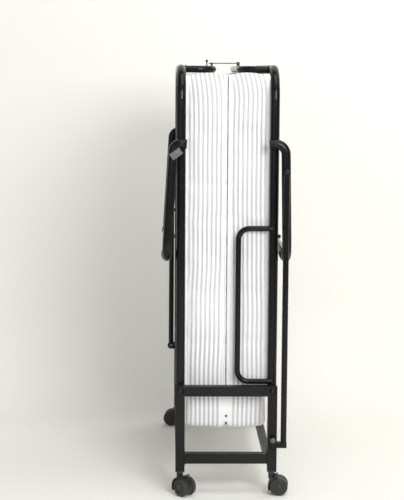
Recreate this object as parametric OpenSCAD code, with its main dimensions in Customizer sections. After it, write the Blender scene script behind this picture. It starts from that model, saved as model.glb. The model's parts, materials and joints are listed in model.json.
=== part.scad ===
// Folding cot on castors, folded upright with its mattress between the two halves.
// +Z is up, X is the direction in which the cot opens, Y is the width of the bed.
// The origin is on the floor, midway between the four castors.
// The left half is the right half turned half a turn about Z, apart from its leg and rod.

/* [Frame] */
// Height of the hinge line above the floor
hinge_z = 287; // [270:1:300]
// Distance from the hinge line to the end bar of each half
frame_len = 863; // [840:1:880]
// Distance between the rails of the two halves when folded
fold_gap = 250; // [250:1:256]
// Outer diameter of the main frame and leg tube
tube_d = 25; // [24:0.5:26]
// Wall thickness of the round tube
tube_wall = 1.5; // [1.2:0.1:2]
// Bend radius of the frame corners, to the centre of the tube
corner_r = 78; // [60:1:100]

/* [Stand] */
// Outer width of the stand
stand_w = 800; // [800:1:820]
// Side of the square stand tube
post_s = 25; // [24:0.5:26]
// Height of the two cross bars of the stand
bar_h = 27; // [26:1:32]
// Height of the middle of the lower cross bar
low_bar_z = 101; // [98:1:110]

/* [Legs] */
// Distance from the hinge line to the leg pivot
leg_pivot_u = 667; // [650:1:680]
// Distance from the leg pivot to the floor bar of the leg
leg_len = 307.5; // [300:0.5:310]
// Distance of the folded right leg from its rail
right_leg_offset = 28; // [28:1:30]
// Angle at which the folded right leg stands off its rail
right_leg_tilt = 1.2; // [0.8:0.1:1.5]
// Distance of the folded left leg from its rail
left_leg_offset = 20; // [20:1:22]
// Angle at which the folded left leg stands off its rail
left_leg_tilt = 3.4; // [3:0.1:3.8]
// Diameter of the connecting rods
rod_d = 16; // [14:0.5:16]
// Height of the right rod's pivot above the floor
right_rod_z = 157; // [152:1:160]
// Height of the left rod's pivot above the floor
left_rod_z = 262; // [258:1:264]
// Distance of the left rod's pivot from the middle of its post
left_rod_out = 23; // [22:1:26]

/* [Deck and mattress] */
// Number of slats in each half
slat_count = 7; // [6:1:7]
// Width of one slat
slat_w = 50; // [40:1:55]
// Rise of the bowed slats in the middle
slat_rise = 9; // [6:1:10]
// Thickness of one mattress half
mattress_t = 109.5; // [100:0.5:109.5]
// Width of the mattress
mattress_w = 690; // [670:1:690]
// Distance from the hinge line down to the fold of the mattress
fold_drop = 109; // [90:1:110]

/* [Castors] */
// Diameter of the castor wheels
wheel_d = 50; // [48:1:52]
// Distance of the axle from the swivel axis
castor_trail = 20; // [18:0.5:22]
// Direction of the near left castor
near_left_yaw = -48; // [-60:1:-30]
// Direction of the near right castor
near_right_yaw = -6; // [-15:1:10]

/* [Hidden] */
$fn = 48;
tube_r = tube_d / 2;
rail_x = fold_gap / 2;
half_w = stand_w / 2;
stand_y = half_w - post_s / 2;
post_wall = 1.5;
side_gap = 3;
rail_y = half_w - post_s - side_gap - tube_r;
leg_y = stand_y;
rod_r = rod_d / 2;
rod_y = half_w + side_gap + rod_r;
rod_eye_r = 9;
top_z = hinge_z + frame_len;
leg_pivot_z = hinge_z + leg_pivot_u;
post_bottom = 66;
upper_bar_bottom = hinge_z - bar_h / 2;
hinge_r = 5;
bolt_r = 4;
fit = 0.06;
gap = 0.3;

// Guard loop at the side of the mattress
guard_r = 7.5;
guard_y = rail_y + 6;
guard_reach = 95;
guard_low = 21;
guard_high = 439;
guard_bend = 30;

// Bow that holds the end of the mattress
bow_r = 9.5;
bow_half_w = 250;
bow_x = 37.5;
bow_bend = 42;

// Cross tube of the deck
deck_bar_r = 9.5;
deck_bar_u = 45;

// Slats
slat_t = 8;
slat_first_u = 100;
slat_pitch = 105;
slat_end_y = rail_y - tube_r - 3;
slat_steps = 16;
clip_len = 18;
clip_t = 16;
clip_w = slat_w + 8;
clip_saddle = 4;

// Castors
wheel_r = wheel_d / 2;
web_t = 14;
disc_t = 13;
wheel_gap = 1;
fender_gap = 1.2;
fender_t = 3;
stem_r = 5;
fender_r = wheel_r + fender_gap + fender_t;
castor_w = web_t + 2 * (wheel_gap + disc_t);
ties = [rail_x - 11, -rail_x - 2];
tie_s = 20;

// Turn of a leg from its rail when its feet are on the floor and the rail is level.
foot_pad = 2;
foot_drop = hinge_z - tube_r - foot_pad;
function open_turn(offset) = 180 - asin(foot_drop / norm([leg_len, offset])) - atan(offset / leg_len);

// Place of a point of the leg, as [along the rail, away from the mattress] from the leg pivot.
// a runs down the leg, b away from the rail, and turn is the angle of the leg to the rail.
function leg_point(a, b, turn) =
    [b * sin(turn) - a * cos(turn), a * sin(turn) + b * cos(turn)];

// A rod joins a fixed point of the stand to a point of the leg. The fixed point is out from the
// hinge and drop below it. The rod has the same length folded and open when it meets the leg
// this far down from the leg pivot.
function crank_a(offset, tilt, out, drop) =
    let (
        turn = open_turn(offset),
        folded_start = [leg_pivot_u + drop, -out] + leg_point(0, offset, tilt),
        open_start = [leg_pivot_u - out, -drop] + leg_point(0, offset, turn),
        folded_way = leg_point(1, 0, tilt),
        open_way = leg_point(1, 0, turn)
    )
    (folded_start * folded_start - open_start * open_start)
        / (2 * (open_start * open_way - folded_start * folded_way));

// Upper end of a rod as [X, Z], on the right half
function crank(offset, tilt, out, drop) =
    let (place = leg_point(crank_a(offset, tilt, out, drop), offset, tilt))
    [rail_x + place[1], leg_pivot_z + place[0]];

right_crank = crank(right_leg_offset, right_leg_tilt, 0, hinge_z - right_rod_z);
left_crank = crank(left_leg_offset, left_leg_tilt, left_rod_out, hinge_z - left_rod_z);
left_rod_x = rail_x + left_rod_out;

// ---- Shapes used by several parts ----

// Straight round tube from the origin along +Z
module round_tube(length, r, wall) {
    difference() {
        cylinder(h = length, r = r);
        translate([0, 0, -1]) cylinder(h = length + 2, r = r - wall);
    }
}

// Quarter bend of a round tube in the XY plane, about the origin
module tube_bend(bend_r, r, wall, angle = 90) {
    rotate_extrude(angle = angle, $fn = 96)
        translate([bend_r, 0])
            difference() {
                circle(r = r);
                if (wall > 0) circle(r = r - wall);
            }
}

// Cylinder along Y from y0 to y1 at a point of the XZ plane
module y_pin(x, z, y0, y1, r) {
    translate([x, y1, z]) rotate([90, 0, 0]) cylinder(h = y1 - y0, r = r);
}

// Two copies, at the near and the far side
module both_sides() {
    children();
    mirror([0, 1, 0]) children();
}

// The same thing on the left half
module left_side() {
    rotate([0, 0, 180]) children();
}

// ---- Stand ----

// Outline of one end of the stand, grown by less for the hollow inside
module stand_bars(inset) {
    for (side = [-1, 1])
        translate([side * rail_x, 0, 0])
            linear_extrude(upper_bar_bottom + 2 * inset)
                square(post_s - 2 * inset, center = true);
    translate([0, 0, hinge_z])
        cube([fold_gap + post_s - 2 * inset, post_s - 2 * inset, bar_h - 2 * inset], center = true);
    translate([0, 0, low_bar_z])
        cube([fold_gap, post_s - 2 * inset, bar_h - 2 * inset], center = true);
}

// One end of the stand: two posts, an upper and a lower cross bar, welded
module stand_end(rod_bore) {
    color("#1b1b1c")
        translate([0, -stand_y, 0])
            difference() {
                stand_bars(0);
                stand_bars(post_wall);
                translate([0, 0, post_bottom / 2])
                    cube([2 * fold_gap, 2 * post_s, post_bottom], center = true);
                for (side = [-1, 1])
                    y_pin(side * rail_x, hinge_z, -post_s, post_s, hinge_r + fit);
                if (rod_bore) y_pin(rail_x, right_rod_z, -post_s, 0, bolt_r + fit);
            }
}

module stand_near() { stand_end(true); }
module stand_far() { left_side() stand_end(false); }

// Lengthwise tubes that join the two ends of the stand
module stand_ties() {
    color("#1b1b1c")
        for (x = ties)
            translate([x, stand_y - post_s / 2, low_bar_z])
                rotate([90, 0, 0])
                    linear_extrude(2 * stand_y - post_s)
                        difference() {
                            square(tie_s, center = true);
                            square(tie_s - 2 * post_wall, center = true);
                        }
}

// Plastic sockets in the feet of the posts
module castor_sockets() {
    plug_h = 30;
    flange_h = 2;
    color("#2a2a2b")
        for (x = [-rail_x, rail_x], y = [-stand_y, stand_y])
            translate([x, y, post_bottom])
                difference() {
                    union() {
                        linear_extrude(plug_h) square(post_s - 2 * post_wall - 0.1, center = true);
                        translate([0, 0, -flange_h]) linear_extrude(flange_h) square(post_s, center = true);
                    }
                    translate([0, 0, -5]) cylinder(h = plug_h + 10, r = stem_r + fit);
                }
}

// Hinge bolts of the two halves: a head outside, a nut inside, and a washer between post and rail
module hinge_bolts() {
    head_h = 4;
    nut_h = 5;
    washer_h = side_gap - 2 * gap;
    inner_y = rail_y - tube_r;
    color("#3a3a3c")
        for (turn = [0, 180], x = [-rail_x, rail_x])
            rotate([0, 0, turn])
                translate([x, 0, hinge_z])
                    rotate([90, 0, 0]) {
                        translate([0, 0, inner_y - nut_h])
                            cylinder(h = half_w + head_h / 2 - inner_y + nut_h, r = hinge_r);
                        translate([0, 0, half_w]) cylinder(h = head_h, r1 = 9, r2 = 6);
                        translate([0, 0, inner_y - nut_h - gap]) cylinder(h = nut_h, r = 9, $fn = 6);
                        translate([0, 0, rail_y + tube_r + gap])
                            difference() {
                                cylinder(h = washer_h, r = 9);
                                translate([0, 0, -1]) cylinder(h = washer_h + 2, r = hinge_r + gap);
                            }
                    }
}

// Lug welded to the far left post, which carries the left rod
module rod_lug() {
    lug_t = 10;
    lug_h = 22;
    reach = left_rod_out + lug_h / 2 - post_s / 2;
    color("#1b1b1c")
        left_side()
            difference() {
                union() {
                    translate([rail_x + post_s / 2, -half_w, left_rod_z - lug_h / 2])
                        cube([reach - lug_h / 2, lug_t, lug_h]);
                    y_pin(left_rod_x, left_rod_z, -half_w, -half_w + lug_t, lug_h / 2);
                }
                translate([rail_x, -half_w - 1, left_rod_z - lug_h]) cube([post_s / 2, lug_t + 2, 2 * lug_h]);
                y_pin(left_rod_x, left_rod_z, -stand_w, 0, bolt_r + fit);
            }
}

// Shoulder bolt that carries the lower end of a rod
module lower_rod_bolt(x, z) {
    head_h = 3;
    head_y = -rod_y - rod_r - gap;
    y_pin(x, z, head_y, -half_w + 9, bolt_r);
    y_pin(x, z, head_y - head_h, head_y, 7);
}

module rod_bolts() {
    color("#b9b9bc") {
        lower_rod_bolt(rail_x, right_rod_z);
        left_side() lower_rod_bolt(left_rod_x, left_rod_z);
    }
}

// ---- Right half, which the left half repeats ----

// Rail with its corner bend, on the near side
module frame_side() {
    low = hinge_z - 14;
    translate([rail_x, -rail_y, low]) round_tube(top_z - corner_r - low, tube_r, tube_wall);
    translate([rail_x, -rail_y + corner_r, top_z - corner_r])
        rotate([0, 90, 0])
            rotate([0, 0, 180])
                tube_bend(corner_r, tube_r, tube_wall);
}

// Two rails and the end bar, bent from one tube
module half_frame() {
    bar_len = 2 * (rail_y - corner_r);
    color("#1b1b1c")
        difference() {
            union() {
                both_sides() frame_side();
                translate([rail_x, bar_len / 2, top_z])
                    rotate([90, 0, 0])
                        round_tube(bar_len, tube_r, tube_wall);
            }
            y_pin(rail_x, hinge_z, -stand_w, stand_w, hinge_r + fit);
            y_pin(rail_x, leg_pivot_z, -stand_w, stand_w, bolt_r + fit);
        }
}

// Cross tube near the hinge, coped to the rails
module half_deck_bar() {
    color("#1b1b1c")
        difference() {
            translate([rail_x, rail_y, hinge_z + deck_bar_u])
                rotate([90, 0, 0])
                    round_tube(2 * rail_y, deck_bar_r, tube_wall);
            both_sides()
                translate([rail_x, -rail_y, hinge_z]) cylinder(h = 2 * deck_bar_u, r = tube_r);
        }
}

// Plugs in the lower ends of the rails
module half_rail_plugs() {
    flange_h = 3;
    plug_h = 8;
    color("#2a2a2b")
        both_sides()
            translate([rail_x, -rail_y, hinge_z - 14 - flange_h]) {
                cylinder(h = flange_h, r = tube_r);
                cylinder(h = flange_h + plug_h, r = tube_r - tube_wall - 0.05);
            }
}

// Near half of the bow that holds the end of the mattress
module bow_side() {
    leg_len_x = rail_x - bow_x - bow_bend;
    translate([rail_x - leg_len_x, -bow_half_w, top_z])
        rotate([0, 90, 0])
            round_tube(leg_len_x, bow_r, tube_wall);
    translate([bow_x + bow_bend, -bow_half_w + bow_bend, top_z])
        rotate([0, 0, 180])
            tube_bend(bow_bend, bow_r, tube_wall);
}

module half_end_bow() {
    bar_len = 2 * (bow_half_w - bow_bend);
    color("#1b1b1c")
        difference() {
            union() {
                both_sides() bow_side();
                translate([bow_x, bar_len / 2, top_z])
                    rotate([90, 0, 0])
                        round_tube(bar_len, bow_r, tube_wall);
            }
            y_pin(rail_x, top_z, -stand_w, stand_w, tube_r);
        }
}

// Loop beside the mattress, coped to the near rail
module half_guard() {
    low = hinge_z + guard_low;
    high = hinge_z + guard_high;
    bar_x = rail_x - guard_reach;
    leg_x_len = guard_reach - guard_bend;
    color("#1b1b1c")
        difference() {
            union() {
                translate([bar_x, -guard_y, low + guard_bend])
                    cylinder(h = high - low - 2 * guard_bend, r = guard_r);
                for (z = [low, high])
                    translate([bar_x + guard_bend, -guard_y, z])
                        rotate([0, 90, 0])
                            cylinder(h = leg_x_len, r = guard_r);
                translate([bar_x + guard_bend, -guard_y, high - guard_bend])
                    rotate([90, 0, 0])
                        rotate([0, 0, 90])
                            tube_bend(guard_bend, guard_r, 0);
                translate([bar_x + guard_bend, -guard_y, low + guard_bend])
                    rotate([90, 0, 0])
                        rotate([0, 0, 180])
                            tube_bend(guard_bend, guard_r, 0);
            }
            translate([rail_x, -rail_y, hinge_z]) cylinder(h = frame_len, r = tube_r);
            translate([rail_x, -rail_y - tube_r, hinge_z]) cube([tube_d, tube_d, frame_len]);
        }
}

// Pivot bolts of the leg, through rail and leg, with a spacer between them
module half_leg_bolts() {
    head_h = 2.3;
    nut_h = 4.5;
    inner_y = -rail_y + tube_r + gap;
    color("#3a3a3c")
        both_sides() {
            y_pin(rail_x, leg_pivot_z, -half_w - gap - head_h, inner_y + nut_h, bolt_r);
            y_pin(rail_x, leg_pivot_z, -half_w - gap - head_h, -half_w - gap, 7);
            y_pin(rail_x, leg_pivot_z, inner_y, inner_y + nut_h, 7);
            y_pin(rail_x, leg_pivot_z, -half_w + post_s + gap, -rail_y - tube_r - gap, 8);
        }
}

// Rubber stops on the rails, just short of the folded leg
module half_stops() {
    stop_r = 5;
    stop_u = 418;
    color("#2a2a2b")
        both_sides()
            difference() {
                translate([rail_x, -rail_y - 4, hinge_z + stop_u])
                    rotate([0, 90, 0])
                        cylinder(h = tube_r + 6, r = stop_r);
                translate([rail_x, -rail_y, hinge_z]) cylinder(h = frame_len, r = tube_r);
                translate([rail_x - tube_d, -rail_y - tube_d, hinge_z]) cube([tube_d, 2 * tube_d, frame_len]);
            }
}

// Outline of a bowed slat, seen along the rails
function slat_line(offset_x) =
    [for (i = [-slat_steps / 2 : slat_steps / 2])
        let (s = 2 * i / slat_steps)
        [rail_x - slat_rise * (1 - s * s) + offset_x, s * slat_end_y]];

function reversed(points) = [for (i = [len(points) - 1 : -1 : 0]) points[i]];

module half_slat(index) {
    color("#d8bd8a")
        translate([0, 0, hinge_z + slat_first_u + (index - 1) * slat_pitch - slat_w / 2])
            linear_extrude(slat_w)
                polygon(concat(slat_line(-slat_t / 2), reversed(slat_line(slat_t / 2))));
}

// Plastic pockets that hold the slat ends on the rails
module half_slat_clips() {
    pocket = 0.2;
    color("#2a2a2b")
        both_sides()
            for (i = [0 : slat_count - 1])
                translate([rail_x, -rail_y + tube_r - clip_saddle, hinge_z + slat_first_u + i * slat_pitch])
                    difference() {
                        translate([-clip_t / 2, 0, -clip_w / 2])
                            cube([clip_t, clip_len + clip_saddle, clip_w]);
                        translate([0, -tube_r + clip_saddle, -clip_w]) cylinder(h = 2 * clip_w, r = tube_r);
                        translate([-slat_t / 2 - 1.6, clip_saddle + 2, -slat_w / 2 - pocket])
                            cube([slat_t + 2.1, clip_len + 10, slat_w + 2 * pocket]);
                    }
}

// One half of the mattress. Its lower inner corner is round about the hinge, so that it can turn.
module half_mattress() {
    edge_r = 12;
    inner_x = 0.5;
    high = top_z - 13;
    low = hinge_z - fold_drop;
    outer_x = inner_x + mattress_t;
    color("#efeff4")
        translate([0, mattress_w / 2, 0])
            rotate([90, 0, 0])
                linear_extrude(mattress_w)
                    difference() {
                        union() {
                            translate([inner_x, low]) square([mattress_t, high - low - edge_r]);
                            translate([inner_x + edge_r, high - 2 * edge_r])
                                square([mattress_t - 2 * edge_r, 2 * edge_r]);
                            for (x = [inner_x + edge_r, outer_x - edge_r])
                                translate([x, high - edge_r]) circle(r = edge_r);
                        }
                        difference() {
                            translate([-1, low - 1]) square([rail_x + 1, fold_drop + 1]);
                            translate([rail_x, hinge_z]) circle(r = rail_x - inner_x, $fn = 180);
                        }
                    }
}

// ---- Legs and rods ----

// Near side of a leg, in its place before it is tilted
module leg_side(offset) {
    foot_bend = 42;
    foot_z = leg_pivot_z - leg_len;
    stub = 15;
    leg_x = rail_x + offset;
    translate([rail_x - stub, -leg_y, leg_pivot_z]) rotate([0, 90, 0]) round_tube(stub, tube_r, tube_wall);
    translate([rail_x, -leg_y, leg_pivot_z - offset])
        rotate([90, 0, 0])
            tube_bend(offset, tube_r, tube_wall);
    translate([leg_x, -leg_y, foot_z + foot_bend])
        round_tube(leg_len - offset - foot_bend, tube_r, tube_wall);
    translate([leg_x, -leg_y + foot_bend, foot_z + foot_bend])
        rotate([0, 90, 0])
            rotate([0, 0, -90])
                tube_bend(foot_bend, tube_r, tube_wall);
    translate([leg_x, 0, foot_z])
        rotate([90, 0, 0])
            round_tube(leg_y - foot_bend, tube_r, tube_wall);
}

// Turns a leg part about the leg pivot by the tilt of the folded leg
module tilted(tilt) {
    translate([rail_x, 0, leg_pivot_z])
        rotate([0, -tilt, 0])
            translate([-rail_x, 0, -leg_pivot_z])
                children();
}

module leg(offset, tilt) {
    color("#1b1b1c")
        tilted(tilt)
            difference() {
                both_sides() leg_side(offset);
                y_pin(rail_x, leg_pivot_z, -stand_w, stand_w, bolt_r + fit);
            }
}

// Rubber sleeves on the floor bar of a leg
module leg_feet(offset, tilt) {
    sleeve_len = 45;
    sleeve_y = 300;
    color("#2a2a2b")
        tilted(tilt)
            both_sides()
                translate([rail_x + offset, -sleeve_y + sleeve_len / 2, leg_pivot_z - leg_len])
                    rotate([90, 0, 0])
                        difference() {
                            cylinder(h = sleeve_len, r = tube_r + foot_pad);
                            translate([0, 0, -1]) cylinder(h = sleeve_len + 2, r = tube_r);
                        }
}

// Zinc-plated plate with a folded lip, welded to the leg on the side without the rod
module leg_plate(offset) {
    plate_t = 2.2;
    length = 32;
    width = 19;
    lip = 6;
    slant = 40;
    color("#8c8f94")
        mirror([0, 1, 0])
            translate([rail_x + offset - 8, -half_w, leg_pivot_z - 27])
                rotate([0, slant, 0]) {
                    translate([-length / 2, -plate_t, -width / 2]) cube([length, plate_t, width]);
                    translate([-length / 2, -lip, -width / 2]) cube([length, lip - plate_t / 2, plate_t]);
                }
}

// Eyes of a rod, with a running bore below and a press fit above
module rod_eyes(lower, upper) {
    difference() {
        union() {
            children();
            for (place = [lower, upper])
                y_pin(place[0], place[1], -rod_y - rod_r, -rod_y + rod_r, rod_eye_r);
        }
        y_pin(lower[0], lower[1], -stand_w, 0, bolt_r + fit);
        y_pin(upper[0], upper[1], -stand_w, 0, bolt_r);
    }
}

// Right rod: an eye on the near post, a short foot, and the rod itself
module right_rod() {
    foot_z = right_rod_z - 13;
    rod_x = right_crank[0];
    color("#1b1b1c")
        rod_eyes([rail_x, right_rod_z], right_crank) {
            translate([rail_x - 2, -rod_y - rod_r, foot_z - rod_r])
                cube([rod_x + rod_r - rail_x + 2, rod_d, rod_d]);
            translate([rod_x, -rod_y, foot_z]) cylinder(h = right_crank[1] - foot_z, r = rod_r);
        }
}

// Left rod: straight, from the lug on the far post
module left_rod() {
    lower = [left_rod_x, left_rod_z];
    way = left_crank - lower;
    color("#1b1b1c")
        left_side()
            rod_eyes(lower, left_crank)
                translate([lower[0], -rod_y, lower[1]])
                    rotate([0, atan2(way[0], way[1]), 0])
                        cylinder(h = norm(way), r = rod_r);
}

// Bolt in the upper eye of a rod. It ends just short of the leg.
module upper_rod_bolt(place) {
    head_h = 3;
    color("#b9b9bc") {
        y_pin(place[0], place[1], -rod_y - rod_r - head_h, -half_w - 0.5, bolt_r);
        y_pin(place[0], place[1], -rod_y - rod_r - head_h, -rod_y - rod_r, 7);
    }
}

// ---- Latch that keeps the cot folded ----

latch_y = -100;
latch_z = top_z + bow_r + 7;
latch_tip_x = -46;
wire_r = 1.6;

// Two ears on the right bow, with the pin of the wire
module latch_post() {
    ear_t = 2.5;
    color("#3a3a3c")
        difference() {
            union() {
                for (side = [-1, 1])
                    translate([bow_x - 4, latch_y + side * 5 - ear_t / 2, top_z])
                        cube([8, ear_t, bow_r + 11]);
                y_pin(bow_x, latch_z, latch_y - 7, latch_y + 7, 1.5);
            }
            translate([bow_x, half_w, top_z]) rotate([90, 0, 0]) cylinder(h = stand_w, r = bow_r);
            translate([bow_x - 10, latch_y - 20, top_z - 20]) cube([20, 40, 20]);
        }
}

// Wire that lies across to the left bow
module latch_wire() {
    color("#8c8c90")
        difference() {
            union() {
                translate([latch_tip_x, latch_y, latch_z])
                    rotate([0, 90, 0])
                        cylinder(h = bow_x - latch_tip_x, r = wire_r);
                y_pin(bow_x, latch_z, latch_y - 3, latch_y + 3, 3.2);
            }
            y_pin(bow_x, latch_z, latch_y - 8, latch_y + 8, 1.5 + fit);
        }
}

// Open fork on the left bow that the wire drops into
module latch_keeper() {
    keeper_x = -bow_x;
    color("#3a3a3c")
        difference() {
            translate([keeper_x - 3, latch_y - 5, top_z]) cube([6, 10, bow_r + 9]);
            translate([keeper_x, half_w, top_z]) rotate([90, 0, 0]) cylinder(h = stand_w, r = bow_r);
            translate([keeper_x - 10, latch_y - 20, top_z - 20]) cube([20, 40, 20]);
            translate([keeper_x - 10, latch_y - wire_r - gap, latch_z - wire_r - gap]) cube([20, 2 * wire_r + 2 * gap, 20]);
        }
}

// Round-headed peg on the near arm of the left bow
module latch_peg() {
    peg_x = -55;
    peg_h = bow_r + 12;
    color("#3a3a3c")
        difference() {
            union() {
                translate([peg_x, -bow_half_w, top_z]) cylinder(h = peg_h, r = 1.6);
                translate([peg_x, -bow_half_w, top_z + peg_h + 1]) sphere(r = 3.4, $fn = 32);
            }
            translate([peg_x - 20, -bow_half_w, top_z]) rotate([0, 90, 0]) cylinder(h = 40, r = bow_r);
        }
}

// ---- Castors ----

// Wedge seen along the axle, from angle a0 to a1
module castor_wedge(a0, a1, width) {
    reach = 3 * wheel_r;
    rotate([90, 0, 0])
        translate([0, 0, -width / 2])
            linear_extrude(width)
                polygon(concat([[0, 0]], [for (i = [0 : 4]) let (a = a0 + (a1 - a0) * i / 4) reach * [cos(a), sin(a)]]));
}

// Twin-wheel castor body: web between the wheels, fender, boss and stem. The stem is the origin of X and Y.
module castor_body() {
    boss_top = post_bottom - 2 - 1;
    color("#2f2f31")
        difference() {
            union() {
                translate([castor_trail, 0, wheel_r]) {
                    intersection() {
                        difference() {
                            rotate([90, 0, 0]) cylinder(h = castor_w + 2, r = fender_r, center = true, $fn = 96);
                            rotate([90, 0, 0])
                                cylinder(h = castor_w + 4, r = fender_r - fender_t, center = true, $fn = 96);
                        }
                        castor_wedge(95, 205, castor_w + 2);
                    }
                    rotate([90, 0, 0]) cylinder(h = web_t, r = wheel_r - 2, center = true, $fn = 96);
                    intersection() {
                        rotate([90, 0, 0]) cylinder(h = web_t, r = fender_r, center = true, $fn = 96);
                        castor_wedge(95, 205, web_t);
                    }
                }
                translate([0, 0, wheel_r + 20]) cylinder(h = boss_top - wheel_r - 20, r = 9);
                translate([0, 0, wheel_r + 20]) cylinder(h = post_bottom + 25 - wheel_r - 20, r = stem_r);
            }
            translate([castor_trail, 0, wheel_r])
                rotate([90, 0, 0])
                    cylinder(h = castor_w, r = 4 + fit, center = true);
        }
}

// The two wheels and their axle, which turn together
module castor_wheels() {
    color("#39393b")
        translate([castor_trail, 0, wheel_r])
            rotate([90, 0, 0]) {
                cylinder(h = castor_w - 6, r = 4, center = true);
                for (side = [0, 1])
                    mirror([0, 0, side])
                        translate([0, 0, web_t / 2 + wheel_gap])
                            rotate_extrude($fn = 96)
                                polygon([
                                    [0, 0], [wheel_r - 1.5, 0], [wheel_r, 1.5], [wheel_r, disc_t - 3],
                                    [wheel_r - 3, disc_t], [wheel_r - 6, disc_t], [wheel_r - 7, disc_t - 1.5],
                                    [9, disc_t - 1.5], [8, disc_t - 0.5], [0, disc_t - 0.5]
                                ]);
            }
}

module castor_place(x, y, yaw) {
    translate([x, y, 0]) rotate([0, 0, yaw]) children();
}

module castor_near_left() { castor_place(-rail_x, -stand_y, near_left_yaw) castor_body(); }
module wheels_near_left() { castor_place(-rail_x, -stand_y, near_left_yaw) castor_wheels(); }
module castor_near_right() { castor_place(rail_x, -stand_y, near_right_yaw) castor_body(); }
module wheels_near_right() { castor_place(rail_x, -stand_y, near_right_yaw) castor_wheels(); }
module castor_far_left() { left_side() castor_near_right(); }
module wheels_far_left() { left_side() wheels_near_right(); }
module castor_far_right() { left_side() castor_near_left(); }
module wheels_far_right() { left_side() wheels_near_left(); }

// ---- Nodes ----

stand_near();
stand_far();
stand_ties();
castor_sockets();
hinge_bolts();
rod_lug();
rod_bolts();
half_frame();  // right_frame
half_deck_bar();  // right_deck_bar
half_rail_plugs();  // right_rail_plugs
half_end_bow();  // right_end_bow
half_guard();  // right_guard
half_leg_bolts();  // right_leg_bolts
half_stops();  // right_stops
half_slat_clips();  // right_slat_clips
half_mattress();  // right_mattress
leg(right_leg_offset, right_leg_tilt);  // right_leg
leg_feet(right_leg_offset, right_leg_tilt);  // right_leg_feet
tilted(right_leg_tilt) leg_plate(right_leg_offset);  // right_leg_plate
right_rod();
upper_rod_bolt(right_crank);  // right_rod_bolt
left_side() half_frame();  // left_frame
left_side() half_deck_bar();  // left_deck_bar
left_side() half_rail_plugs();  // left_rail_plugs
left_side() half_end_bow();  // left_end_bow
left_side() half_guard();  // left_guard
left_side() half_leg_bolts();  // left_leg_bolts
left_side() half_stops();  // left_stops
left_side() half_slat_clips();  // left_slat_clips
left_side() half_mattress();  // left_mattress
left_side() leg(left_leg_offset, left_leg_tilt);  // left_leg
left_side() leg_feet(left_leg_offset, left_leg_tilt);  // left_leg_feet
left_side() tilted(left_leg_tilt) leg_plate(left_leg_offset);  // left_leg_plate
left_rod();
left_side() upper_rod_bolt(left_crank);  // left_rod_bolt
for (i = [1 : slat_count])
    half_slat(i);
for (i = [1 : slat_count])
    left_side() half_slat(i);
latch_post();
latch_wire();
union() {
    latch_keeper();
    latch_peg();
}
castor_near_left();
wheels_near_left();
castor_near_right();
wheels_near_right();
castor_far_left();
wheels_far_left();
castor_far_right();
wheels_far_right();
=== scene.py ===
import json
import math

import bpy
from mathutils import Matrix, Vector, noise


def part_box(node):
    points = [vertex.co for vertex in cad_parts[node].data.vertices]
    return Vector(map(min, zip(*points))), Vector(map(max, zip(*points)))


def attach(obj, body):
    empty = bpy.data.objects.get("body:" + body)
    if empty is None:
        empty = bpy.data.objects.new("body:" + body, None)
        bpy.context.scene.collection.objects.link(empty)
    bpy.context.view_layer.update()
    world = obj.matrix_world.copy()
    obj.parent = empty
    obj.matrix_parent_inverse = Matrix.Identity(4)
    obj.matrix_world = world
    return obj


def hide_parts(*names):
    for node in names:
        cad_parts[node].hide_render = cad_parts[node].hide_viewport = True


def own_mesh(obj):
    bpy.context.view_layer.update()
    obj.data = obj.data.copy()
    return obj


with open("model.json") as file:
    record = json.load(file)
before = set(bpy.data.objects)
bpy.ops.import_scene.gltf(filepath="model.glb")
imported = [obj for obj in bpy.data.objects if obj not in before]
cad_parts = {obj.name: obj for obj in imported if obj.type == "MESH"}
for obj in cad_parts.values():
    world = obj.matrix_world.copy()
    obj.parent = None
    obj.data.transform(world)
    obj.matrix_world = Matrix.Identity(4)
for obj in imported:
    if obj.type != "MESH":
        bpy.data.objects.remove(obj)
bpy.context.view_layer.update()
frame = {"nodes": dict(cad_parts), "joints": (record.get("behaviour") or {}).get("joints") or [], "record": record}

# ---- Places worked out from the frame ----

JOINTS = {joint["name"]: joint for joint in frame["joints"]}
SIDES = {"right": 1, "left": -1}
ENDS = {"near": -1, "far": 1}


def centre(node):
    """Middle of a CAD node's box."""
    low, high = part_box(node)
    return (low + high) / 2


def pivot(joint):
    """The place of a joint."""
    return Vector(JOINTS[joint]["pos_m"])


FRAME_LOW, FRAME_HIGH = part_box("right_frame")
RAIL_X = (FRAME_LOW.x + FRAME_HIGH.x) / 2
RAIL_R = (FRAME_HIGH.x - FRAME_LOW.x) / 2
RAIL_Y = FRAME_HIGH.y - RAIL_R
HINGE_Z = pivot("right_fold").z
LEG_PIVOT_Z = pivot("right_leg_fold").z
PAD_LOW, PAD_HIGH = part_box("right_mattress")
STAND_LOW, STAND_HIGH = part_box("stand_near")
POST = STAND_HIGH.y - STAND_LOW.y
POST_Y = -(STAND_LOW.y + STAND_HIGH.y) / 2

# The mattress cover, in metres
STRIPE_PITCH = 0.0122
THREAD_PITCH = 0.0011
PLAIN_BAND = 0.0098
PIPING_R = 0.0028
# How far the foam swells, and how much thicker it stands between the deck and the border
SWELL = 0.006
END_FILL = 0.0052
# Where the halves of the mattress end and the fold piece takes over, below the hinge line
HALF_DROP = 0.026
# A bead or a cap starts this far inside the face that it sits on
SUNK = 0.0005
CAP_SUNK = 0.0004
BEAD_R = 0.0019

# ---- Shader helpers ----


def new_material(name, base, roughness, metallic=0.0):
    material = bpy.data.materials.new(name)
    material.use_nodes = True
    shader = material.node_tree.nodes["Principled BSDF"]
    shader.inputs["Base Color"].default_value = (*base, 1)
    shader.inputs["Roughness"].default_value = roughness
    shader.inputs["Metallic"].default_value = metallic
    return material, material.node_tree, shader


def add_node(tree, kind, **settings):
    node = tree.nodes.new(kind)
    for key, value in settings.items():
        if key in node.inputs:
            node.inputs[key].default_value = value
        else:
            setattr(node, key, value)
    return node


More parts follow.
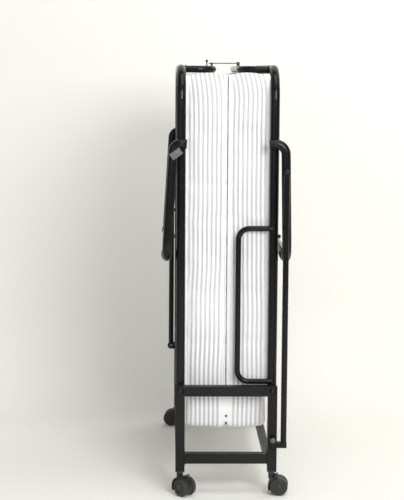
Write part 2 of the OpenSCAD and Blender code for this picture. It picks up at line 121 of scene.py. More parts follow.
def object_noise(tree, scale, detail=3.0, stretch=(1, 1, 1), roughness=0.5):
    place = add_node(tree, "ShaderNodeTexCoord")
    mapping = add_node(tree, "ShaderNodeMapping", Scale=stretch)
    tree.links.new(place.outputs["Object"], mapping.inputs["Vector"])
    texture = add_node(tree, "ShaderNodeTexNoise", Scale=scale, Detail=detail, Roughness=roughness)
    tree.links.new(mapping.outputs["Vector"], texture.inputs["Vector"])
    return texture.outputs["Fac"]


def ramp(tree, source, stops):
    node = add_node(tree, "ShaderNodeValToRGB")
    tree.links.new(source, node.inputs["Fac"])
    elements = node.color_ramp.elements
    while len(elements) < len(stops):
        elements.new(0.5)
    for element, (position, colour) in zip(elements, stops):
        element.position = position
        element.color = (*colour, 1)
    return node.outputs["Color"]


def grey(value):
    return (value, value, value)


def spread(tree, source, low, high):
    node = add_node(tree, "ShaderNodeMapRange")
    tree.links.new(source, node.inputs["Value"])
    node.inputs["From Min"].default_value = 0.3
    node.inputs["From Max"].default_value = 0.7
    node.inputs["To Min"].default_value = low
    node.inputs["To Max"].default_value = high
    return node.outputs["Result"]


def bump(tree, shader, source, strength, distance, after=None):
    node = add_node(tree, "ShaderNodeBump", Strength=strength, Distance=distance)
    tree.links.new(source, node.inputs["Height"])
    if after:
        tree.links.new(after, node.inputs["Normal"])
    tree.links.new(node.outputs["Normal"], shader.inputs["Normal"])
    return node.outputs["Normal"]


def math_node(tree, operation, first, second=None):
    node = add_node(tree, "ShaderNodeMath", operation=operation)
    for index, value in enumerate((first, second)):
        if value is None:
            continue
        if isinstance(value, (int, float)):
            node.inputs[index].default_value = value
        else:
            tree.links.new(value, node.inputs[index])
    return node.outputs["Value"]


# ---- Materials ----


def powder_coat(name, base, rough, coat, dust):
    """Black powder coat: faint orange peel, patchy gloss, dust that settles in blotches."""
    material, tree, shader = new_material(name, base, rough)
    shader.inputs["Specular IOR Level"].default_value = 0.12
    shader.inputs["Coat Weight"].default_value = coat
    shader.inputs["Coat Roughness"].default_value = 0.1
    blotch = object_noise(tree, 9, 5)
    colour = ramp(tree, blotch, [(0.35, base), (0.75, tuple(c + dust for c in base))])
    tree.links.new(colour, shader.inputs["Base Color"])
    gloss = spread(tree, object_noise(tree, 26, 4), rough - 0.07, rough + 0.1)
    tree.links.new(gloss, shader.inputs["Roughness"])
    peel = bump(tree, shader, object_noise(tree, 420, 2), 0.25, 0.0004)
    bump(tree, shader, object_noise(tree, 60, 2), 0.12, 0.0008, peel)
    return material


def moulded_plastic(name, base, rough, grain=900):
    """Moulded plastic with a fine spark-eroded grain and slightly uneven colour."""
    material, tree, shader = new_material(name, base, rough)
    worn = tuple(c * 1.5 for c in base)
    colour = ramp(tree, object_noise(tree, 14, 4), [(0.3, base), (0.8, worn)])
    tree.links.new(colour, shader.inputs["Base Color"])
    gloss = spread(tree, object_noise(tree, 40, 4), rough - 0.06, rough + 0.08)
    tree.links.new(gloss, shader.inputs["Roughness"])
    bump(tree, shader, object_noise(tree, grain, 2), 0.3, 0.0003)
    return material


def zinc_plate(name, base, rough):
    """Zinc plating: cloudy grey with drawn lines."""
    material, tree, shader = new_material(name, base, rough, 1.0)
    cloud = object_noise(tree, 70, 5, roughness=0.7)
    colour = ramp(tree, cloud, [(0.3, tuple(c * 0.72 for c in base)), (0.7, base)])
    tree.links.new(colour, shader.inputs["Base Color"])
    gloss = spread(tree, object_noise(tree, 120, 3), rough - 0.08, rough + 0.12)
    tree.links.new(gloss, shader.inputs["Roughness"])
    bump(tree, shader, object_noise(tree, 300, 2, (1, 1, 8)), 0.2, 0.0002)
    return material


def slat_wood():
    """Lacquered birch ply: long grain across the bed, fine pores and plies."""
    dark, middle, light = (0.46, 0.30, 0.155), (0.62, 0.44, 0.25), (0.74, 0.56, 0.35)
    material, tree, shader = new_material("slat_wood", middle, 0.42)
    shader.inputs["Coat Weight"].default_value = 0.25
    grain = object_noise(tree, 38, 6, (1, 0.06, 1), 0.65)
    colour = ramp(tree, grain, [(0.3, dark), (0.5, middle), (0.72, light)])
    pores = object_noise(tree, 260, 3, (1, 0.05, 1))
    mix = add_node(tree, "ShaderNodeMixRGB", blend_type="MULTIPLY", Fac=0.5)
    tree.links.new(colour, mix.inputs["Color1"])
    tree.links.new(ramp(tree, pores, [(0.35, grey(0.62)), (0.6, grey(1.0))]), mix.inputs["Color2"])
    tree.links.new(mix.outputs["Color"], shader.inputs["Base Color"])
    tree.links.new(spread(tree, grain, 0.36, 0.52), shader.inputs["Roughness"])
    bump(tree, shader, pores, 0.25, 0.0004)
    return material


def weave(tree, shader, strength):
    """Twill weave from two crossed sets of threads, on the cover's own coordinates."""
    cover = add_node(tree, "ShaderNodeUVMap", uv_map="cover")
    split = add_node(tree, "ShaderNodeSeparateXYZ")
    tree.links.new(cover.outputs["UV"], split.inputs["Vector"])
    across = math_node(tree, "MULTIPLY", split.outputs["X"], 2 * math.pi / THREAD_PITCH)
    along = math_node(tree, "MULTIPLY", split.outputs["Y"], 2 * math.pi / THREAD_PITCH)
    warp = math_node(tree, "SINE", math_node(tree, "ADD", across, along))
    weft = math_node(tree, "SINE", math_node(tree, "SUBTRACT", across, along))
    height = math_node(tree, "MULTIPLY", warp, weft)
    woven = bump(tree, shader, height, strength, 0.0003)
    slub = object_noise(tree, 34, 5, roughness=0.6)
    bump(tree, shader, slub, 0.28, 0.003, woven)
    return split


def ticking():
    """White cotton ticking with soft lavender-grey stripes that run along the mattress."""
    material, tree, shader = new_material("ticking", (0.93, 0.93, 0.95), 0.82)
    shader.inputs["Sheen Weight"].default_value = 0.35
    shader.inputs["Sheen Roughness"].default_value = 0.5
    split = weave(tree, shader, 0.3)
    turns = math_node(tree, "DIVIDE", split.outputs["X"], STRIPE_PITCH)
    phase = math_node(tree, "FRACT", turns)
    ridge = math_node(tree, "ABSOLUTE", math_node(tree, "SUBTRACT", phase, 0.5))
    plain = (0.93, 0.93, 0.945)
    edge = (0.68, 0.675, 0.71)
    core = (0.46, 0.45, 0.495)
    stops = [(0.0, core), (0.12, core), (0.2, edge), (0.31, plain), (1.0, plain)]
    colour = ramp(tree, ridge, stops)
    fade = ramp(tree, object_noise(tree, 8, 4), [(0.3, grey(0.0)), (0.75, grey(0.45))])
    mix = add_node(tree, "ShaderNodeMixRGB")
    tree.links.new(fade, mix.inputs["Fac"])
    tree.links.new(colour, mix.inputs["Color1"])
    mix.inputs["Color2"].default_value = (0.9, 0.9, 0.93, 1)
    # Beyond the last stripe the cover is plain
    band = add_node(tree, "ShaderNodeAttribute", attribute_name="plain_band")
    plain_mix = add_node(tree, "ShaderNodeMixRGB")
    tree.links.new(band.outputs["Fac"], plain_mix.inputs["Fac"])
    tree.links.new(mix.outputs["Color"], plain_mix.inputs["Color1"])
    plain_mix.inputs["Color2"].default_value = (0.93, 0.93, 0.94, 1)
    tree.links.new(plain_mix.outputs["Color"], shader.inputs["Base Color"])
    return material


def tape():
    """White woven binding tape over the seams."""
    material, tree, shader = new_material("binding_tape", (0.9, 0.9, 0.91), 0.75)
    shader.inputs["Sheen Weight"].default_value = 0.3
    stops = [(0.3, (0.80, 0.80, 0.82)), (0.7, (0.93, 0.93, 0.94))]
    colour = ramp(tree, object_noise(tree, 120, 3), stops)
    tree.links.new(colour, shader.inputs["Base Color"])
    bump(tree, shader, object_noise(tree, 700, 2, (1, 1, 0.4)), 0.5, 0.0005)
    return material


def seamless_paper():
    """Pale studio paper of the floor and the backdrop, with only its front side showing."""
    material, tree, shader = new_material("studio_paper", (0.95, 0.95, 0.91), 0.9)
    stops = [(0.3, (0.94, 0.94, 0.9)), (0.7, (0.955, 0.955, 0.92))]
    colour = ramp(tree, object_noise(tree, 1.2, 3), stops)
    tree.links.new(colour, shader.inputs["Base Color"])
    side = add_node(tree, "ShaderNodeNewGeometry")
    clear = add_node(tree, "ShaderNodeBsdfTransparent")
    mix = add_node(tree, "ShaderNodeMixShader")
    tree.links.new(side.outputs["Backfacing"], mix.inputs["Fac"])
    tree.links.new(shader.outputs["BSDF"], mix.inputs[1])
    tree.links.new(clear.outputs["BSDF"], mix.inputs[2])
    tree.links.new(mix.outputs["Shader"], tree.nodes["Material Output"].inputs["Surface"])
    return material


MATERIALS = {
    "frame_black": powder_coat("frame_black", (0.0045, 0.0045, 0.005), 0.22, 0.24, 0.0025),
    "stand_black": powder_coat("stand_black", (0.011, 0.011, 0.0105), 0.4, 0.1, 0.005),
    "plastic_black": moulded_plastic("plastic_black", (0.016, 0.016, 0.016), 0.45),
    "rubber_black": moulded_plastic("rubber_black", (0.02, 0.02, 0.02), 0.7, 400),
    "castor_body": moulded_plastic("castor_body", (0.012, 0.012, 0.012), 0.42),
    "castor_wheel": moulded_plastic("castor_wheel", (0.022, 0.022, 0.021), 0.45, 500),
    "bolt_dark": zinc_plate("bolt_dark", (0.045, 0.045, 0.047), 0.4),
    "zinc": zinc_plate("zinc", (0.2, 0.206, 0.225), 0.38),
    "slat_wood": slat_wood(),
    "ticking": ticking(),
}
TAPE = tape()


def dress_cad_nodes():
    for part in frame["record"]["subparts"]:
        material = MATERIALS[part["material_slot"]]
        for holder in frame["nodes"][part["node"]].material_slots:
            holder.link = "OBJECT"
            holder.material = material


# ---- Mesh helpers ----


def make_piece(name, points, faces, slot, body, material=None):
    """A smooth mesh object that rides on a CAD body, or on none yet."""
    mesh = bpy.data.meshes.new(name)
    mesh.from_pydata(points, [], faces)
    mesh.validate()
    mesh.shade_smooth()
    piece = bpy.data.objects.new(name, mesh)
    bpy.context.scene.collection.objects.link(piece)
    mesh.materials.append(material or MATERIALS[slot])
    if body:
        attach(piece, body)
    return piece


def axis_matrix(place, direction):
    """Matrix that puts local +Z along direction at place."""
    turn = Vector((0, 0, 1)).rotation_difference(Vector(direction).normalized())
    return Matrix.Translation(place) @ turn.to_matrix().to_4x4()


def lathe(profile, matrix, segments=40):
    """Points and faces of a profile of (radius, height) turned about the matrix's Z axis."""
    points = []
    for radius, height in profile:
        for i in range(segments):
            angle = math.tau * i / segments
            x, y = radius * math.cos(angle), radius * math.sin(angle)
            points.append(matrix @ Vector((x, y, height)))
    faces = []
    for row in range(len(profile) - 1):
        for i in range(segments):
            j = (i + 1) % segments
            low, high = row * segments, (row + 1) * segments
            faces.append((low + i, low + j, high + j, high + i))
    faces.append(tuple(range(segments))[::-1])
    last = (len(profile) - 1) * segments
    faces.append(tuple(last + i for i in range(segments)))
    return points, faces


def torus_bead(matrix, ring_r, bead_r, segments=56, sides=10, lumps=0.0, seed=0.0):
    """A ring of round section, lumpy like a weld bead when lumps is above 0."""
    points = []
    for i in range(segments):
        angle = math.tau * i / segments
        out = Vector((math.cos(angle), math.sin(angle), 0))
        blob = noise.noise(out * 3 + Vector((seed, 0, 0)))
        wave = 1 + lumps * math.sin(angle * 19 + seed) + lumps * blob
        for k in range(sides):
            turn = math.tau * k / sides
            radius = ring_r + bead_r * wave * math.cos(turn)
            height = bead_r * wave * math.sin(turn)
            points.append(matrix @ Vector((radius * out.x, radius * out.y, height)))
    faces = []
    for i in range(segments):
        j = (i + 1) % segments
        for k in range(sides):
            m = (k + 1) % sides
            faces.append((i * sides + k, j * sides + k, j * sides + m, i * sides + m))
    return points, faces


def merged(groups):
    """One set of points and faces from several."""
    points, faces = [], []
    for some_points, some_faces in groups:
        start = len(points)
        points += some_points
        faces += [tuple(start + i for i in face) for face in some_faces]
    return points, faces


def tube_along(path, radius, sides):
    """A round tube with closed ends along a list of points."""
    skew = Vector((0.31, 0.17, 0.93))
    points, faces = [], []
    count = len(path)
    for i, place in enumerate(path):
        tangent = (path[min(i + 1, count - 1)] - path[max(i - 1, 0)]).normalized()
        side = tangent.cross(skew).normalized()
        other = tangent.cross(side)
        for k in range(sides):
            turn = math.tau * k / sides
            points.append(place + radius * (math.cos(turn) * side + math.sin(turn) * other))
    for i in range(count - 1):
        j = i + 1
        for k in range(sides):
            m = (k + 1) % sides
            faces.append((i * sides + k, i * sides + m, j * sides + m, j * sides + k))
    faces.append(tuple(range(sides)))
    faces.append(tuple((count - 1) * sides + k for k in range(sides))[::-1])
    return points, faces


# ---- Mattress ----


def graded(low, high, step, edge, edge_step):
    """Grid lines from low to high, closer together near both ends."""
    lines = [low + edge_step * i for i in range(int(edge / edge_step))]
    middle = high - low - 2 * edge
    count = max(1, round(middle / step))
    lines += [low + edge + middle * i / count for i in range(count + 1)]
    lines += [high - edge_step * i for i in range(int(edge / edge_step) - 1, -1, -1)]
    return lines


def box_grid(xs, ys, zs):
    """Surface points, faces and each face's axis of a box over the grid lines."""
    index, points, faces, axes = {}, [], [], []

    def point(i, j, k):
        if (i, j, k) not in index:
            index[i, j, k] = len(points)
            points.append(Vector((xs[i], ys[j], zs[k])))
        return index[i, j, k]

    lines = (xs, ys, zs)
    for axis in range(3):
        first, second = (axis + 1) % 3, (axis + 2) % 3
        for end in (0, len(lines[axis]) - 1):
            for a in range(len(lines[first]) - 1):
                for b in range(len(lines[second]) - 1):
                    corners = []
                    for da, db in ((0, 0), (1, 0), (1, 1), (0, 1)):
                        place = [0, 0, 0]
                        place[axis] = end
                        place[first] = a + da
                        place[second] = b + db
                        corners.append(point(*place))
                    faces.append(tuple(corners if end else corners[::-1]))
                    axes.append(axis)
    return points, faces, axes


def rounded(points, low, high, radius):
    """Moves the points of a box's surface onto the same box with round edges."""
    result = []
    for p in points:
        core = Vector(min(max(p[i], low[i] + radius), high[i] - radius) for i in range(3))
        away = p - core
        result.append(core + away.normalized() * radius if away.length > 1e-9 else p.copy())
    return result


def stripe_drift(x, y, z, side):
    """How far the stripes wander from straight lines, in metres."""
    top = max(0.0, 1 - (PAD_HIGH.z - z) / 0.07)
    flare = 0.011 * top * top * (1 if side > 0 else 0.6)
    wave = 0.0018 * math.sin(z * 7.0 + 1.3 * side) + 0.0005 * math.sin(z * 31.0 + 2.0 * side)
    wobble = 0.0012 * noise.noise(Vector((x * 9, y * 2, z * 7)))
    lean = 0.006 * max(0.0, 1 - (z - HINGE_Z) / 0.3)
    return flare + wave + wobble - lean * side * 0.5


def lay_cover(piece, axes, rest, side_of, panels):
    """Cover coordinates in metres: across the stripes, and along them; and the plain seam band.
    Faces that look along an axis in panels belong to the wide panels, the rest to the border."""
    mesh = piece.data
    mesh.attributes.new("plain_band", "FLOAT", "CORNER")
    mesh.uv_layers.new(name="cover")
    layer = mesh.uv_layers["cover"]
    band = mesh.attributes["plain_band"]
    for face in mesh.polygons:
        axis = axes[face.index]
        for loop in face.loop_indices:
            p = rest[mesh.loops[loop].vertex_index]
            side = side_of(p)
            across = p.y if axis in panels else p.x
            along = p.z
            if axis == 2:
                along = p.x if axis in panels else p.y
            layer.data[loop].uv = (across + stripe_drift(p.x, p.y, p.z, side), along)
            inner = abs(p.x) - abs(PAD_LOW.x)
            outer = abs(PAD_HIGH.x) - abs(p.x)
            near_seam = 1.0 if axis in panels else min(inner - 0.002, outer + 0.004)
            band.data[loop].value = 1.0 if near_seam < PLAIN_BAND else 0.0


def swell(piece, rest, pinned, limit, pressure):
    """Inflates the cover as cloth over its seams, holds it within limit, and applies it."""
    group = piece.vertex_groups.new(name="seams")
    for i in pinned:
        group.add([i], 1.0, "REPLACE")
    cloth = piece.modifiers.new("cloth", "CLOTH")
    settings = cloth.settings
    settings.quality = 4
    settings.mass = 0.3
    settings.tension_stiffness = 6
    settings.compression_stiffness = 6
    settings.bending_stiffness = 0.4
    settings.use_pressure = True
    settings.uniform_pressure_force = pressure
    settings.vertex_group_mass = "seams"
    settings.effector_weights.gravity = 0
    settings.shrink_min = -0.012
    cloth.collision_settings.use_collision = False
    scene = bpy.context.scene
    scene.frame_set(1)
    for step in range(2, 15):
        scene.frame_set(step)
    graph = bpy.context.evaluated_depsgraph_get()
    result = piece.evaluated_get(graph).data
    moved = [v.co.copy() for v in result.vertices]
    piece.modifiers.remove(cloth)
    piece.vertex_groups.remove(group)
    scene.frame_set(1)
    for vertex, place, start in zip(piece.data.vertices, moved, rest):
        shift = place - start
        if shift.length > limit:
            shift *= limit / shift.length
        vertex.co = start + shift


def pucker(p, seam_distance):
    """Small gathers beside a seam, slow hollows in the foam and creases in the cover."""
    near = math.exp(-seam_distance / 0.022)
    along = p.z
    uneven = 3 * noise.noise(Vector((0, along * 9, p.x * 5)))
    gathers = 0.0011 * near * math.sin(along * 150 + uneven)
    hollow = 0.0022 * noise.noise(Vector((p.x * 7, p.y * 6, p.z * 6)))
    crease = 0.0016 * noise.noise(Vector((p.x * 26, p.y * 12, p.z * 15)))
    return gathers + hollow + crease


def end_fill(y):
    """How much thicker the foam stands near the border, where the slats bow away from it."""
    share = min(max((abs(y) - 0.29) / 0.035, 0.0), 1.0)
    return END_FILL * share * share * (3 - 2 * share)


def mattress_half(name, side):
    """One half: a boxed cushion with panels, border and bound seams."""
    low = Vector((PAD_LOW.x + 0.0004, PAD_LOW.y + 0.003, HINGE_Z - HALF_DROP))
    high = Vector((PAD_HIGH.x - 0.001, PAD_HIGH.y - 0.003, PAD_HIGH.z - 0.003))
    xs = graded(low.x, high.x, 0.009, 0.016, 0.004)
    ys = graded(low.y, high.y, 0.018, 0.016, 0.004)
    zs = graded(low.z, high.z, 0.014, 0.016, 0.004)
    points, faces, axes = box_grid(xs, ys, zs)
    rest = rounded(points, low, high, 0.009)
    for p in rest:
        p.x += end_fill(p.y) * (p.x - low.x) / (high.x - low.x)
    if side < 0:
        rest = [Vector((-p.x, p.y, p.z)) for p in rest]
        faces = [face[::-1] for face in faces]
    piece = make_piece(name, rest, faces, "ticking", None)
    lay_cover(piece, axes, rest, lambda p: side, (0,))
    seams = [i for i, p in enumerate(points) if on_seam(p, low, high)]
    swell(piece, rest, seams, SWELL, 3.0)
    for p, vertex in zip(rest, piece.data.vertices):
        edge = min(abs(abs(p.x) - low.x), abs(abs(p.x) - high.x))
        normal = vertex.normal.copy()
        vertex.co += normal * pucker(p, edge)
        x = vertex.co.x * side
        vertex.co.x = side * min(max(x, PAD_LOW.x), PAD_HIGH.x + 0.0008 + end_fill(p.y))
    finer = piece.modifiers.new("finer", "SUBSURF")
    finer.levels = finer.render_levels = 1
    apply_modifiers(piece)
    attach(piece, side_name(side) + "_half")
    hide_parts(side_name(side) + "_mattress")


def side_name(side):
    return "right" if side > 0 else "left"


def on_seam(p, low, high):
    """True for points of the eight long edges, where panel and border are sewn together."""
    at_panel = p.x - low.x < 1e-6 or high.x - p.x < 1e-6
    at_border = any(p[i] - low[i] < 1e-6 or high[i] - p[i] < 1e-6 for i in (1, 2))
    return at_panel and at_border


def apply_modifiers(piece):
    """Bakes the modifiers of a piece into its mesh."""
    graph = bpy.context.evaluated_depsgraph_get()
    mesh = bpy.data.meshes.new_from_object(piece.evaluated_get(graph))
    piece.modifiers.clear()
    piece.data = mesh


def piping(name, side, panel_x):
    """Bound seam around one panel of a half."""
    inset = 0.0048
    y = PAD_HIGH.y - inset
    top = PAD_HIGH.z - inset
    bottom = HINGE_Z - 0.02
    corner = 0.012
    path = []
    for end in (-1, 1):
        heights = [bottom + (top - corner - bottom) * i / 60 for i in range(61)]
        leg = [Vector((panel_x, end * y, z)) for z in heights]
        bend = []
        for angle in (math.pi / 2 * i / 6 for i in range(1, 6)):
            out, up = corner * math.cos(angle), corner * math.sin(angle)
            bend.append(Vector((panel_x, end * (y - corner + out), top - corner + up)))
        path += leg + bend if end < 0 else (leg + bend)[::-1]
    shift = Vector((4, 0, 0))
    ripple = []
    for p in path:
        wander = (side * 0.0007 * noise.noise(p * 40), 0.0008 * noise.noise(p * 33 + shift), 0)
        ripple.append(p + Vector(wander))
    points, faces = tube_along(ripple, PIPING_R, 8)
    piece = make_piece(name, points, faces, "ticking", side_name(side) + "_half", TAPE)


def mattress_fold():
    """The bend of the one-piece mattress, below the hinges."""
    low = Vector((-PAD_HIGH.x - 0.0008, PAD_LOW.y + 0.0005, PAD_LOW.z - 0.006))
    high = Vector((PAD_HIGH.x + 0.0008, PAD_HIGH.y - 0.0005, HINGE_Z + 0.003))
    xs = graded(low.x, high.x, 0.008, 0.02, 0.004)
    ys = graded(low.y, high.y, 0.016, 0.02, 0.004)
    zs = graded(low.z, high.z, 0.008, 0.02, 0.004)
    points, faces, axes = box_grid(xs, ys, zs)
    rest = rounded(points, low, high, 0.017)
    for p in rest:
        rise = max(0.0, (p.z - (HINGE_Z - HALF_DROP - 0.002)) / 0.03)
        p.x *= 1 - 0.05 * min(rise, 1.0)
        p.y *= 1 - 0.012 * min(rise, 1.0)
        belly = max(0.0, 1 - (p.z - low.z) / 0.05)
        p.z += 0.004 * belly * (abs(p.x) / high.x) ** 2
        groove = math.exp(-(p.x / 0.006) ** 2)
        p.z += 0.010 * groove * belly
    piece = make_piece("mattress_fold", rest, faces, "ticking", None)
    lay_cover(piece, axes, rest, lambda p: 1 if p.x > 0 else -1, (0, 2))
    for p, vertex in zip(rest, piece.data.vertices):
        seam = abs(abs(p.x) - 0.006)
        vertex.co += vertex.normal * (pucker(p, seam) * 1.2)
    finer = piece.modifiers.new("finer", "SUBSURF")
    finer.levels = finer.render_levels = 1
    apply_modifiers(piece)
    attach(piece, "stand")
    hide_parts("right_mattress", "left_mattress")
    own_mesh(piece)


def eyelets():
    """Two small metal vents in the border of the fold."""
    for i, z in enumerate((PAD_LOW.z + 0.009, PAD_LOW.z + 0.029)):
        matrix = axis_matrix(Vector((0.0015, PAD_LOW.y - 0.0005, z)), (0, -1, 0))
        ring = torus_bead(matrix, 0.0027, 0.0009, 28, 8)
        plug = lathe([(0.0019, -0.001), (0.0019, 0.0001), (0.001, 0.0003)], matrix, 20)
        points, faces = merged([ring, plug])
        piece = make_piece(f"mattress_vent_{i + 1}", points, faces, "zinc", "stand")
        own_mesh(piece)


# ---- Metal details ----


def bolt_cap(name, place, direction, radius, slot, body):
    """Low domed bolt head with a hexagon socket."""
    matrix = axis_matrix(place, direction)
    height = radius * 0.45
    profile = [(radius, 0), (radius, height * 0.25)]
    for i in range(1, 6):
        angle = math.pi / 2 * i / 6
        across = radius * (0.42 + 0.58 * math.cos(angle))
        profile.append((across, height * (0.25 + 0.75 * math.sin(angle))))
    profile += [(radius * 0.42, height), (radius * 0.38, height * 0.35)]
    profile.append((radius * 0.1, height * 0.25))
    points, faces = lathe(profile, matrix, 36)
    make_piece(name, points, faces, slot, body)


def weld_beads():
    """Weld beads where cross tubes meet the rails, and round the corners of the stand."""
    for name, side in SIDES.items():
        beads = []
        bow = centre(name + "_end_bow")
        bow_low, bow_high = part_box(name + "_end_bow")
        bow_r = (bow_high.z - bow_low.z) / 2
        for end in (-1, 1):
            y = end * (bow_high.y - bow_r)
            place = Vector((side * (RAIL_X - RAIL_R + SUNK), y, bow.z))
            matrix = axis_matrix(place, (side, 0, 0))
            beads.append(torus_bead(matrix, bow_r, BEAD_R, lumps=0.16, seed=end))
            bar = centre(name + "_deck_bar")
            bar_low, bar_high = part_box(name + "_deck_bar")
            bar_r = (bar_high.z - bar_low.z) / 2
            place = Vector((side * RAIL_X, end * (RAIL_Y - RAIL_R + SUNK), bar.z))
            matrix = axis_matrix(place, (0, end, 0))
            beads.append(torus_bead(matrix, bar_r, BEAD_R, lumps=0.16, seed=2 * end))
        guard_low, guard_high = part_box(name + "_guard")
        guard_r = (guard_high.y - guard_low.y) / 2
        for z in (guard_low.z + guard_r, guard_high.z - guard_r):
            place = Vector((side * (RAIL_X - RAIL_R + SUNK), (guard_low.y + guard_high.y) / 2, z))
            matrix = axis_matrix(place, (side, 0, 0))
            beads.append(torus_bead(matrix, guard_r, 0.0016, lumps=0.18, seed=z * 9))
        make_piece(name + "_welds", *merged(beads), "frame_black", name + "_half")
    middle = (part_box("stand_ties")[0].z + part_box("stand_ties")[1].z) / 2
    bar_half = 0.015
    steps = [i / 14 for i in range(15)]
    for end_name, end in ENDS.items():
        lines = []
        for side in (-1, 1):
            x = side * (RAIL_X - POST / 2)
            for z in (middle - bar_half, middle + bar_half):
                path = []
                for i, share in enumerate(steps):
                    place = Vector((x, end * (POST_Y - POST / 2 + POST * share), z))
                    path.append(place + bead_jitter(i, z))
                lines.append(tube_along(path, 0.0018, 8))
            for face in (-1, 1):
                y = end * POST_Y + face * (POST / 2)
                path = []
                for i, share in enumerate(steps):
                    place = Vector((x, y, middle - bar_half + 2 * bar_half * share))
                    path.append(place + bead_jitter(i, x + y))
                lines.append(tube_along(path, 0.0014, 8))
        make_piece(f"stand_welds_{end_name}", *merged(lines), "stand_black", "stand")


def bead_jitter(i, seed):
    """The unevenness of a straight weld bead at its step i."""
    wave = (math.sin(i * 2.4 + seed * 70), math.cos(i * 1.9 + seed * 50), math.sin(i * 3.1))
    return 0.0004 * Vector(wave)


def bolt_heads():
    """Domed caps over the plain heads of the hinge, leg and rod bolts."""
    _, hinge_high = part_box("hinge_bolts")
    for end_name, end in ENDS.items():
        out = (0, end, 0)
        for side_word, side in SIDES.items():
            corner = f"{end_name}_{side_word}"
            place = Vector((side * RAIL_X, end * (hinge_high.y - CAP_SUNK), HINGE_Z))
            bolt_cap("hinge_cap_" + corner, place, out, 0.0062, "bolt_dark", "stand")
            leg_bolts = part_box(side_word + "_leg_bolts")
            leg_y = leg_bolts[1].y - CAP_SUNK
            place = Vector((side * RAIL_X, end * leg_y, LEG_PIVOT_Z))
            bolt_cap("leg_cap_" + corner, place, out, 0.0066, "bolt_dark", side_word + "_half")
    for side_word, side in SIDES.items():
        end = -side
        out = (0, end, 0)
        rod = side_word + "_rod"
        low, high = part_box(side_word + "_rod_bolt")
        head_y = max(abs(low.y), abs(high.y)) - CAP_SUNK
        spot = (low + high) / 2
        place = Vector((spot.x, end * head_y, spot.z))
        bolt_cap(rod + "_cap", place, out, 0.0066, "bolt_dark", rod)
        foot = pivot(rod + "_turn")
        foot_y = end * (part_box("rod_bolts")[1].y - CAP_SUNK)
        place = Vector((foot.x, foot_y, foot.z))
        bolt_cap(rod + "_foot_cap", place, out, 0.0052, "zinc", "stand")


def wheel_face(hub, out, wheel_r):
    """Ribs, hub cap and spokes on the face of a wheel that looks along out."""
    face_at = 0.0204
    face = axis_matrix(hub + out * face_at, out)
    parts = [torus_bead(face, wheel_r * 0.72, 0.0009, 64, 8)]
    parts.append(torus_bead(face, wheel_r * 0.33, 0.0011, 48, 8))
    cap = [(0.0074, -0.001), (0.0074, 0.0006), (0.0066, 0.0013)]
    cap += [(0.003, 0.0017), (0.0008, 0.0017)]
    parts.append(lathe(cap, face, 36))
    up = Vector((0, 0, 1))
    across = out.cross(up).normalized()
    start = hub + out * (face_at - 0.0004)
    for spoke in range(10):
        angle = math.tau * spoke / 10
        ray = across * math.cos(angle) + up * math.sin(angle)
        path = [start + ray * wheel_r * share for share in (0.36, 0.5, 0.7)]
        parts.append(tube_along(path, 0.0009, 8))
    return parts


def castor_details():
    """Hub caps, ribs and a swivel ring for each castor."""
    wheel_r = JOINTS["near_left_roll"]["pos_m"][2]
    for end_name in ENDS:
        for side_word in SIDES:
            corner = f"{end_name}_{side_word}"
            hub = pivot(corner + "_roll")
            axle = Vector(JOINTS[corner + "_roll"]["axis"])
            parts = wheel_face(hub, -axle, wheel_r) + wheel_face(hub, axle, wheel_r)
            points, faces = merged(parts)
            make_piece("hub_detail_" + corner, points, faces, "castor_wheel", "wheels_" + corner)
            stem = pivot(corner + "_swivel")
            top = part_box("castor_" + corner)[1].z
            place = Vector((stem.x, stem.y, min(top, STAND_LOW.z - 0.0028)))
            ring = torus_bead(axis_matrix(place, (0, 0, 1)), 0.0105, 0.0013, 40, 8)
            make_piece("swivel_ring_" + corner, *ring, "zinc", "castor_" + corner)


def slat_edges():
    """Pegs that hold each slat in its clips."""
    head = [(0.0052, 0), (0.005, 0.0012), (0.003, 0.002), (0.0006, 0.0022)]
    for side_word, side in SIDES.items():
        parts = []
        for i in range(1, 8):
            low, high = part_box(f"{side_word}_slat_{i}")
            outer = max(abs(low.x), abs(high.x)) + 0.0012
            for end in (-1, 1):
                place = Vector((side * outer, end * (high.y - 0.008), (low.z + high.z) / 2))
                parts.append(lathe(head, axis_matrix(place, (side, 0, 0)), 24))
        points, faces = merged(parts)
        make_piece(side_word + "_clip_pegs", points, faces, "plastic_black", side_word + "_half")


# ---- Studio ----


def studio():
    """Pale seamless floor and backdrop."""
    wall_y, bend, width, height, front = 0.78, 0.32, 9.0, 5.0, -6.0
    bend_y = wall_y - bend
    section = [(front, 0.0), (bend_y, 0.0)]
    for angle in (math.pi / 2 * i / 24 for i in range(1, 25)):
        section.append((bend_y + bend * math.sin(angle), bend - bend * math.cos(angle)))
    section.append((wall_y, height))
    points = [(x, y, z) for x in (-width, width) for y, z in section]
    count = len(section)
    faces = [(i, count + i, count + i + 1, i + 1) for i in range(count - 1)]
    # More floor behind the backdrop, for views from behind
    corner = len(points)
    for x, y in ((-width, 0.3), (width, 0.3), (width, width), (-width, width)):
        points.append((x, y, -0.0005))
    faces.append((corner, corner + 1, corner + 2, corner + 3))
    mesh = bpy.data.meshes.new("studio_sweep")
    mesh.from_pydata(points, [], faces)
    mesh.shade_smooth()
    mesh.materials.append(seamless_paper())
    sweep = bpy.data.objects.new("studio_sweep", mesh)
    bpy.context.scene.collection.objects.link(sweep)


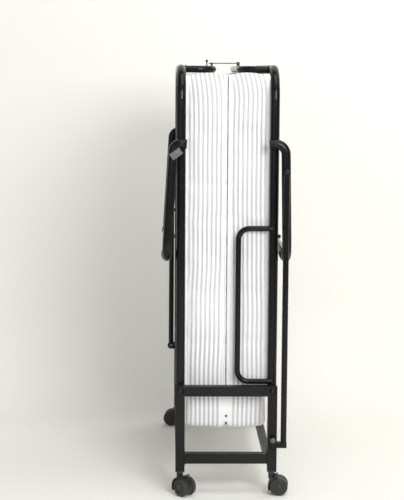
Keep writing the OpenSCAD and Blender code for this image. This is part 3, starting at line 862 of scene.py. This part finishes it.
def area_light(name, place, target, size, power, colour=(1, 1, 1)):
    """A rectangular light at place that looks at target."""
    light = bpy.data.lights.new(name, "AREA")
    light.shape = "RECTANGLE"
    light.size, light.size_y = size
    light.energy = power
    light.color = colour
    lamp = bpy.data.objects.new(name, light)
    lamp.location = place
    lamp.rotation_euler = (Vector(target) - Vector(place)).to_track_quat("-Z", "Y").to_euler()
    bpy.context.scene.collection.objects.link(lamp)


def lights():
    """A large soft key from the right, a weak fill from the left, and a light above."""
    area_light("key", (1.2, -3.7, 2.05), (0, 0, 0.6), (1.6, 1.5), 88, (1.0, 0.998, 0.985))
    area_light("fill", (-1.9, -3.9, 1.5), (0, 0, 0.6), (1.2, 2.0), 13, (0.98, 0.985, 1.0))
    area_light("top", (0.7, -0.9, 3.2), (0.3, 0.5, 0.6), (2.2, 1.8), 33)
    world = bpy.data.worlds.new("studio")
    world.use_nodes = True
    sky = world.node_tree.nodes["Background"]
    sky.inputs["Color"].default_value = (1, 0.998, 0.955, 1)
    sky.inputs["Strength"].default_value = 0.32
    bpy.context.scene.world = world
    bpy.context.scene.view_settings.view_transform = "Standard"


def camera():
    """A long lens a little above the cot, which sees it nearly end on."""
    lens = bpy.data.cameras.new("camera")
    lens.lens = 104.9
    lens.sensor_width = 36
    lens.shift_x = 0.003
    eye = bpy.data.objects.new("camera", lens)
    eye.location = (-0.16, -4.25, 1.154)
    target = Vector((-0.0725, -0.395, 0.6714))
    aim = (target - Vector(eye.location)).to_track_quat("-Z", "Y").to_matrix()
    eye.rotation_euler = (aim @ Matrix.Rotation(math.radians(0.35), 3, "Z")).to_euler()
    bpy.context.scene.collection.objects.link(eye)
    bpy.context.scene.camera = eye


camera()
lights()
studio()
dress_cad_nodes()
for word, sign in SIDES.items():
    mattress_half("mattress_" + word, sign)
    piping(f"mattress_{word}_outer_seam", sign, sign * (PAD_HIGH.x + 0.0018))
    piping(f"mattress_{word}_inner_seam", sign, sign * (PAD_LOW.x + 0.0031))
mattress_fold()
eyelets()
weld_beads()
bolt_heads()
castor_details()
slat_edges()
